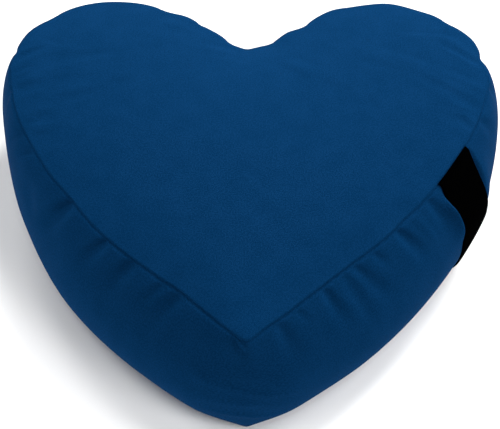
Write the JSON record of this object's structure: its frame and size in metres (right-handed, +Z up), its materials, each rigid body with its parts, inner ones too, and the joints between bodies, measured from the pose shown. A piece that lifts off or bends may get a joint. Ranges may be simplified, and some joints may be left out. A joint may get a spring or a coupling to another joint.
{
  "type": "heart-shaped floor cushion",
  "caption": "Filled heart-shaped boxed cushion with a puckered side band and a flat webbing carrying handle on its side.",
  "frame": {"origin": "centre of the bounding box, on the surface that the base rests on", "axes": "+Z up through the top panel, -Y towards the heart's point, +X to the side with the webbing handle"},
  "size_m": [0.4618, 0.4124, 0.155],
  "materials": {
    "blue_cloth": "matt, smooth plain weave",
    "black_webbing": "matt, ribbed webbing"
  },
  "bodies": {
    "root": {"cushion": "blue_cloth", "handle": "black_webbing"}
  },
  "joints": []
}
